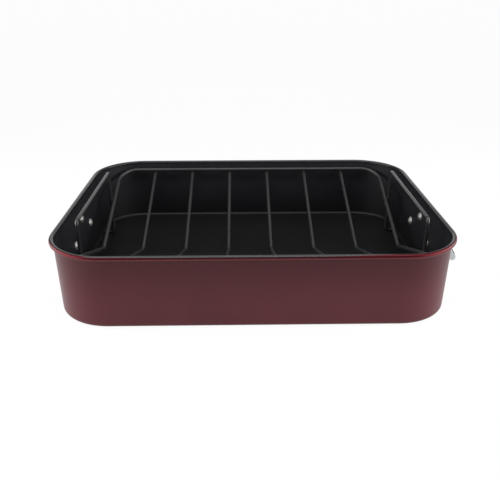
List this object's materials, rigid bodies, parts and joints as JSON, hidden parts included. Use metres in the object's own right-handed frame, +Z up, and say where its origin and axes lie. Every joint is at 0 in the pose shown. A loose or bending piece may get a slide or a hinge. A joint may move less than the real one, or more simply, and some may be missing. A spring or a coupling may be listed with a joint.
{
  "type": "roasting pan with rack",
  "caption": "Rectangular roasting pan with rounded corners and a rolled rim, a folding bail handle at each end, and a lift-out V-shaped wire rack with upright lifting handles.",
  "frame": {"origin": "centre of the pan's base, on its flat underside", "axes": "+X along the pan's length towards the handle that is swung out, +Y across it to the back, +Z up"},
  "size_m": [0.443, 0.32, 0.088],
  "materials": {
    "pan_coating": "burgundy enamel outside, black non-stick coating inside, semi-gloss",
    "hinge_plate_steel": "pressed stainless steel, satin",
    "rivet_steel": "bright, polished domes",
    "handle_steel": "bright, polished rod",
    "rack_coating": "dark grey non-stick coating on steel wire, satin"
  },
  "bodies": {
    "pan": {"pan_body": "pan_coating", "left_hinge_plate": "hinge_plate_steel", "right_hinge_plate": "hinge_plate_steel", "left_rivets": "rivet_steel", "right_rivets": "rivet_steel"},
    "left_handle": {"left_handle": "handle_steel"},
    "right_handle": {"right_handle": "handle_steel"},
    "rack": {"rack_frame": "rack_coating", "rack_cross_wire_1": "rack_coating", "rack_cross_wire_2": "rack_coating", "rack_cross_wire_3": "rack_coating", "rack_cross_wire_4": "rack_coating", "rack_cross_wire_5": "rack_coating", "rack_cross_wire_6": "rack_coating", "rack_handle_left": "rack_coating", "rack_handle_right": "rack_coating"}
  },
  "joints": [
    {"name": "left_handle_hinge", "type": "hinge", "parent": "pan", "child": "left_handle", "pos_m": [-0.20852, 0, 0.055], "axis": [0, 1, 0], "range_deg": [-3, 170]},
    {"name": "right_handle_hinge", "type": "hinge", "parent": "pan", "child": "right_handle", "pos_m": [0.20852, 0, 0.055], "axis": [0, -1, 0], "range_deg": [-35, 138]},
    {"name": "rack_lift", "type": "slide", "parent": "pan", "child": "rack", "axis": [0, 0, 1], "range_m": [0, 0.1]}
  ]
}
